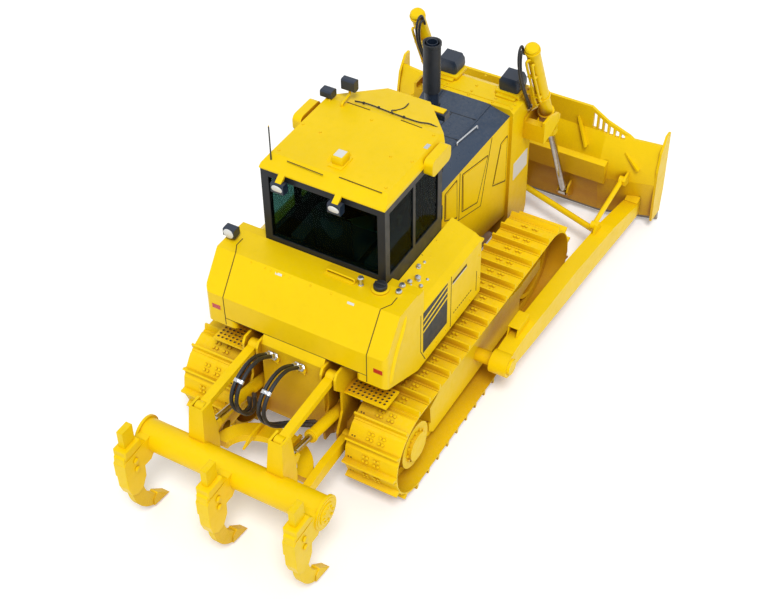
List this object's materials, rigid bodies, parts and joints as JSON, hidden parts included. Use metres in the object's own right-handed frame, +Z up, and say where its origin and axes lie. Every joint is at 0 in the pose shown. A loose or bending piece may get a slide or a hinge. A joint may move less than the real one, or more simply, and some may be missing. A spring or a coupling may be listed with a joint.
{
  "type": "bulldozer",
  "caption": "Crawler bulldozer with a semi-U blade on push arms, lift cylinders, closed cab, rear tank and a parallel-linkage ripper.",
  "frame": {"origin": "ground level below the middle of the machine's overall length and width", "axes": "+X ahead to the blade, +Y to the left, +Z up"},
  "size_m": [7.28, 3.636, 3.6904],
  "materials": {
    "yellow_paint": "satin",
    "dark_paint": "satin",
    "black_paint": "satin",
    "track_steel": "worn",
    "edge_steel": "worn",
    "rod_chrome": "polished",
    "window_glass": "clear",
    "lamp_housing": "matte",
    "trim_plastic": "matte",
    "seat_fabric": "woven"
  },
  "bodies": {
    "tractor": {"cab_consoles": "trim_plastic", "cab_floor": "black_paint", "cab_frame": "black_paint", "cab_glass": "window_glass", "cab_roof": "yellow_paint", "chassis": "yellow_paint", "engine_block": "black_paint", "exhaust_stack": "black_paint", "fenders": "yellow_paint", "front_steps": "yellow_paint", "head_lamps": "lamp_housing", "hood_sides": "yellow_paint", "hood_top": "dark_paint", "idlers": "track_steel", "lift_yokes": "yellow_paint", "operator_seat": "seat_fabric", "radiator_guard": "yellow_paint", "rear_steps": "yellow_paint", "rear_tank": "yellow_paint", "ripper_brackets": "yellow_paint", "rollers": "track_steel", "sprockets": "track_steel", "track_frames": "yellow_paint", "track_left": "track_steel", "track_right": "track_steel", "work_lamps": "lamp_housing"},
    "blade": {"blade": "yellow_paint", "cutting_edge": "edge_steel", "blade_braces": "yellow_paint", "blade_struts": "yellow_paint", "push_arms": "yellow_paint"},
    "ripper_frame": {"ripper_frame": "yellow_paint"},
    "ripper_beam": {"ripper_beam": "yellow_paint", "ripper_shanks": "edge_steel"},
    "lift_tube_left": {"lift_tube_left": "yellow_paint"},
    "lift_rod_left": {"lift_rod_left": "rod_chrome"},
    "ripper_link_left": {"ripper_link_left": "yellow_paint"},
    "ripper_tube_left": {"ripper_tube_left": "yellow_paint"},
    "ripper_rod_left": {"ripper_rod_left": "rod_chrome"},
    "cab_door_left": {"cab_door_left": "black_paint", "door_glass_left": "window_glass"},
    "lift_tube_right": {"lift_tube_right": "yellow_paint"},
    "lift_rod_right": {"lift_rod_right": "rod_chrome"},
    "ripper_link_right": {"ripper_link_right": "yellow_paint"},
    "ripper_tube_right": {"ripper_tube_right": "yellow_paint"},
    "ripper_rod_right": {"ripper_rod_right": "rod_chrome"},
    "cab_door_right": {"cab_door_right": "black_paint", "door_glass_right": "window_glass"}
  },
  "joints": [
    {"name": "blade_lift", "type": "hinge", "parent": "tractor", "child": "blade", "pos_m": [-0.093, 0, 0.5], "axis": [0, -1, 0], "range_deg": [-9.1, 20.6]},
    {"name": "ripper_lift", "type": "hinge", "parent": "tractor", "child": "ripper_frame", "pos_m": [-1.96, 0, 0.67], "axis": [0, 1, 0], "range_deg": [-44, 41]},
    {"name": "ripper_beam_level", "type": "hinge", "parent": "ripper_frame", "child": "ripper_beam", "pos_m": [-2.92, 0, 0.63], "axis": [0, 1, 0], "range_deg": [-41.1, 44.1]},
    {"name": "ripper_link_left_swing", "type": "hinge", "parent": "tractor", "child": "ripper_link_left", "pos_m": [-1.96, 0.46, 1.48], "axis": [0, 1, 0], "range_deg": [-44.1, 41.1]},
    {"name": "ripper_cylinder_left_swing", "type": "hinge", "parent": "tractor", "child": "ripper_tube_left", "pos_m": [-1.75, 0.46, 0.88], "axis": [0, 1, 0], "range_deg": [-40.98, 38.2]},
    {"name": "ripper_rod_left_slide", "type": "slide", "parent": "ripper_tube_left", "child": "ripper_rod_left", "axis": [-0.976, 0, 0.218], "range_m": [-0.1824, 0.17]},
    {"name": "lift_cylinder_left_swing", "type": "hinge", "parent": "tractor", "child": "lift_tube_left", "pos_m": [2.41, 0.705, 1.975], "axis": [0, -1, 0], "range_deg": [-8.89, 20]},
    {"name": "lift_rod_left_slide", "type": "slide", "parent": "lift_tube_left", "child": "lift_rod_left", "axis": [0.4069, 0, -0.9135], "range_m": [-1.0382, 0.4592]},
    {"name": "ripper_link_right_swing", "type": "hinge", "parent": "tractor", "child": "ripper_link_right", "pos_m": [-1.96, -0.46, 1.48], "axis": [0, 1, 0], "range_deg": [-44.1, 41.1]},
    {"name": "ripper_cylinder_right_swing", "type": "hinge", "parent": "tractor", "child": "ripper_tube_right", "pos_m": [-1.75, -0.46, 0.88], "axis": [0, 1, 0], "range_deg": [-40.98, 38.2]},
    {"name": "ripper_rod_right_slide", "type": "slide", "parent": "ripper_tube_right", "child": "ripper_rod_right", "axis": [-0.976, 0, 0.218], "range_m": [-0.1824, 0.17]},
    {"name": "lift_cylinder_right_swing", "type": "hinge", "parent": "tractor", "child": "lift_tube_right", "pos_m": [2.41, -0.705, 1.975], "axis": [0, -1, 0], "range_deg": [-8.89, 20]},
    {"name": "lift_rod_right_slide", "type": "slide", "parent": "lift_tube_right", "child": "lift_rod_right", "axis": [0.4069, 0, -0.9135], "range_m": [-1.0382, 0.4592]},
    {"name": "cab_door_left_hinge", "type": "hinge", "parent": "tractor", "child": "cab_door_left", "pos_m": [-0.10434, 0.67919, 2.6], "axis": [0, 0, 1], "range_deg": [0, 120]},
    {"name": "cab_door_right_hinge", "type": "hinge", "parent": "tractor", "child": "cab_door_right", "pos_m": [-0.10434, -0.67919, 2.6], "axis": [0, 0, -1], "range_deg": [0, 120]}
  ],
  "couplings": [
    {"joint": "ripper_beam_level", "follows": "ripper_lift", "ratio": -1},
    {"joint": "ripper_link_left_swing", "follows": "ripper_lift", "ratio": 1},
    {"joint": "ripper_cylinder_left_swing", "follows": "ripper_lift", "ratio": 0.9292},
    {"joint": "ripper_rod_left_slide", "follows": "ripper_lift", "m_per_rad": 0.2362},
    {"joint": "lift_cylinder_left_swing", "follows": "blade_lift", "ratio": 0.9662},
    {"joint": "lift_rod_left_slide", "follows": "blade_lift", "m_per_rad": -2.8847},
    {"joint": "ripper_link_right_swing", "follows": "ripper_lift", "ratio": 1},
    {"joint": "ripper_cylinder_right_swing", "follows": "ripper_lift", "ratio": 0.9292},
    {"joint": "ripper_rod_right_slide", "follows": "ripper_lift", "m_per_rad": 0.2362},
    {"joint": "lift_cylinder_right_swing", "follows": "blade_lift", "ratio": 0.9662},
    {"joint": "lift_rod_right_slide", "follows": "blade_lift", "m_per_rad": -2.8847}
  ]
}
